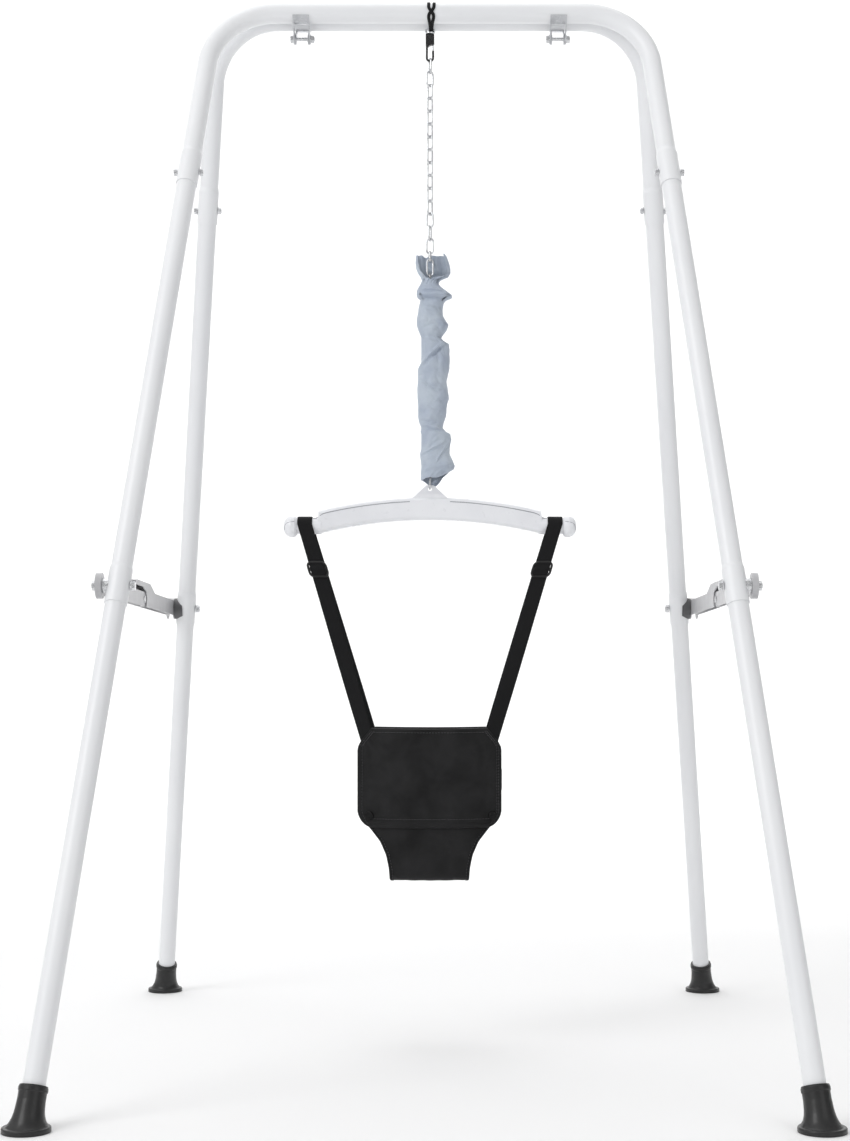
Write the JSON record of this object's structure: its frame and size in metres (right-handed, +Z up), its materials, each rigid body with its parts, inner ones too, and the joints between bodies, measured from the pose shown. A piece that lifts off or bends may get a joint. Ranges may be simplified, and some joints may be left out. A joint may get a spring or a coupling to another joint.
{
  "type": "baby activity jumper",
  "caption": "Folding A-frame steel stand with a chain, sprung sleeve, spreader bar and fabric harness seat hung from its top bars, for a baby to bounce in.",
  "frame": {"origin": "centre of the stand's footprint, on the floor", "axes": "+Z up, -Y the front, +X to the right seen from the front; the fold axis and the top bars lie along X"},
  "size_m": [0.918, 1.054, 1.4016],
  "materials": {
    "frame_white": "white powder coat, satin",
    "foot_rubber": "matte moulded rubber",
    "zinc_fastener": "bright zinc plate",
    "bracket_steel": "zinc-plated pressed steel",
    "brace_grey": "light grey paint, satin",
    "saddle_plastic": "dark grey moulding",
    "black_webbing": "woven polyester webbing",
    "hook_black": "black enamel",
    "chain_steel": "nickel plate",
    "spring_steel": "oiled spring wire",
    "sleeve_fabric": "light polyester, blue grey",
    "bar_plastic": "white moulding, satin gloss",
    "seat_fabric": "coated polyester with a soft sheen",
    "black_plastic": "fine moulded grain",
    "snap_black": "gloss black enamel"
  },
  "bodies": {
    "front_frame": {"front_top_tube": "frame_white", "front_middle_leg_left": "frame_white", "front_middle_leg_right": "frame_white", "front_lower_leg_left": "frame_white", "front_lower_leg_right": "frame_white", "front_foot_left": "foot_rubber", "front_foot_right": "foot_rubber", "front_joint_bolts": "zinc_fastener", "front_joint_nuts": "zinc_fastener", "front_hinge_brackets": "bracket_steel", "fold_hinge_bolts": "zinc_fastener", "fold_hinge_nuts": "zinc_fastener", "front_brace_bolts": "zinc_fastener", "front_brace_nuts": "zinc_fastener", "front_brace_spacers": "zinc_fastener", "hanging_sling": "black_webbing"},
    "rear_frame": {"rear_top_tube": "frame_white", "rear_middle_leg_left": "frame_white", "rear_middle_leg_right": "frame_white", "rear_lower_leg_left": "frame_white", "rear_lower_leg_right": "frame_white", "rear_foot_left": "foot_rubber", "rear_foot_right": "foot_rubber", "rear_joint_bolts": "zinc_fastener", "rear_joint_nuts": "zinc_fastener", "rear_hinge_brackets": "bracket_steel", "rear_brace_bolts": "zinc_fastener", "rear_brace_nuts": "zinc_fastener", "rear_brace_saddles": "saddle_plastic"},
    "left_brace_front": {"front_brace_link_left": "brace_grey", "brace_elbow_rivet_left": "zinc_fastener"},
    "left_brace_rear": {"rear_brace_link_left": "brace_grey", "brace_end_rivet_left": "zinc_fastener"},
    "right_brace_front": {"front_brace_link_right": "brace_grey", "brace_elbow_rivet_right": "zinc_fastener"},
    "right_brace_rear": {"rear_brace_link_right": "brace_grey", "brace_end_rivet_right": "zinc_fastener"},
    "swivel": {"swivel_eye": "chain_steel"},
    "hook": {"snap_hook": "hook_black", "hook_bolt_spring": "spring_steel"},
    "hook_slide_bolt": {"hook_bolt": "chain_steel"},
    "chain_top": {"chain_upper": "chain_steel"},
    "chain_bottom": {"chain_lower": "chain_steel"},
    "connector": {"quick_link": "chain_steel"},
    "spring_head": {"spring_top_ring": "chain_steel", "extension_spring": "spring_steel", "spring_sleeve": "sleeve_fabric"},
    "spring_foot": {"spring_lower_ring": "chain_steel"},
    "spreader": {"spreader_bar": "bar_plastic"},
    "harness": {"harness_strap_left": "black_webbing", "harness_strap_right": "black_webbing", "seat_front_panel": "seat_fabric", "seat_back_panel": "seat_fabric", "crotch_band": "seat_fabric", "side_belts": "black_webbing", "buckle_socket": "black_plastic", "buckle_plug": "black_plastic", "seat_snaps": "snap_black"},
    "glide_left": {"tri_glide_left": "black_plastic"},
    "glide_right": {"tri_glide_right": "black_plastic"}
  },
  "joints": [
    {"name": "stand_fold", "type": "hinge", "parent": "front_frame", "child": "rear_frame", "pos_m": [0, 0, 1.358], "axis": [1, 0, 0], "range_deg": [-34, 0], "deforming": ["hanging_sling"]},
    {"name": "left_brace_pivot", "type": "hinge", "parent": "front_frame", "child": "left_brace_front", "pos_m": [-0.39127, -0.28849, 0.605], "axis": [1, 0, 0], "range_deg": [0, 43.95]},
    {"name": "left_brace_elbow", "type": "hinge", "parent": "left_brace_front", "child": "left_brace_rear", "pos_m": [-0.39127, 0.018, 0.605], "axis": [1, 0, 0], "range_deg": [-158.9, 0]},
    {"name": "right_brace_pivot", "type": "hinge", "parent": "front_frame", "child": "right_brace_front", "pos_m": [0.39127, -0.28849, 0.605], "axis": [1, 0, 0], "range_deg": [0, 43.95]},
    {"name": "right_brace_elbow", "type": "hinge", "parent": "right_brace_front", "child": "right_brace_rear", "pos_m": [0.39127, 0.018, 0.605], "axis": [1, 0, 0], "range_deg": [-158.9, 0]},
    {"name": "hang_swing", "type": "hinge", "parent": "front_frame", "child": "swivel", "pos_m": [0, 0, 1.3716], "axis": [1, 0, 0], "range_deg": [-12, 12]},
    {"name": "hook_swivel", "type": "hinge", "parent": "swivel", "child": "hook", "pos_m": [0, 0, 1.3658], "axis": [0, 0, 1], "continuous": true},
    {"name": "hook_bolt_slide", "type": "slide", "parent": "hook", "child": "hook_slide_bolt", "axis": [0, 0, 1], "range_m": [0, 0.007], "stiffness_N_per_m": 150, "springref_m": -0.004, "deforming": ["hook_bolt_spring"]},
    {"name": "chain_swing", "type": "hinge", "parent": "hook", "child": "chain_top", "pos_m": [0, 0, 1.3288], "axis": [1, 0, 0], "range_deg": [-10, 10]},
    {"name": "chain_bend", "type": "hinge", "parent": "chain_top", "child": "chain_bottom", "pos_m": [0, 0, 1.2079], "axis": [-0.7071, 0.7071, 0], "range_deg": [-5, 5]},
    {"name": "connector_swing", "type": "hinge", "parent": "chain_bottom", "child": "connector", "pos_m": [0, 0, 1.0695], "axis": [-0.9903, 0.1392, 0], "range_deg": [-6, 6]},
    {"name": "spring_swing", "type": "hinge", "parent": "connector", "child": "spring_head", "pos_m": [0, 0, 1.0582], "axis": [0, 1, 0], "range_deg": [-5, 5]},
    {"name": "bounce", "type": "slide", "parent": "spring_head", "child": "spring_foot", "axis": [0, 0, -1], "range_m": [0, 0.12], "stiffness_N_per_m": 600, "springref_m": -0.03, "deforming": ["extension_spring", "spring_sleeve"]},
    {"name": "spreader_rock", "type": "hinge", "parent": "spring_foot", "child": "spreader", "pos_m": [0, 0, 0.7525], "axis": [0, 1, 0], "range_deg": [-8, 8]},
    {"name": "harness_swing", "type": "hinge", "parent": "spreader", "child": "harness", "pos_m": [0, 0, 0.7025], "axis": [1, 0, 0], "range_deg": [-12, 12]},
    {"name": "left_glide_slide", "type": "slide", "parent": "harness", "child": "glide_left", "axis": [0.283, -0.1622, -0.9453], "range_m": [-0.03, 0.08]},
    {"name": "right_glide_slide", "type": "slide", "parent": "harness", "child": "glide_right", "axis": [-0.283, -0.1622, -0.9453], "range_m": [-0.03, 0.08]}
  ],
  "couplings": [
    {"joint": "left_brace_pivot", "follows": "stand_fold", "ratio": -1.2921},
    {"joint": "left_brace_elbow", "follows": "stand_fold", "ratio": 4.6732},
    {"joint": "right_brace_pivot", "follows": "stand_fold", "ratio": -1.2921},
    {"joint": "right_brace_elbow", "follows": "stand_fold", "ratio": 4.6732}
  ]
}
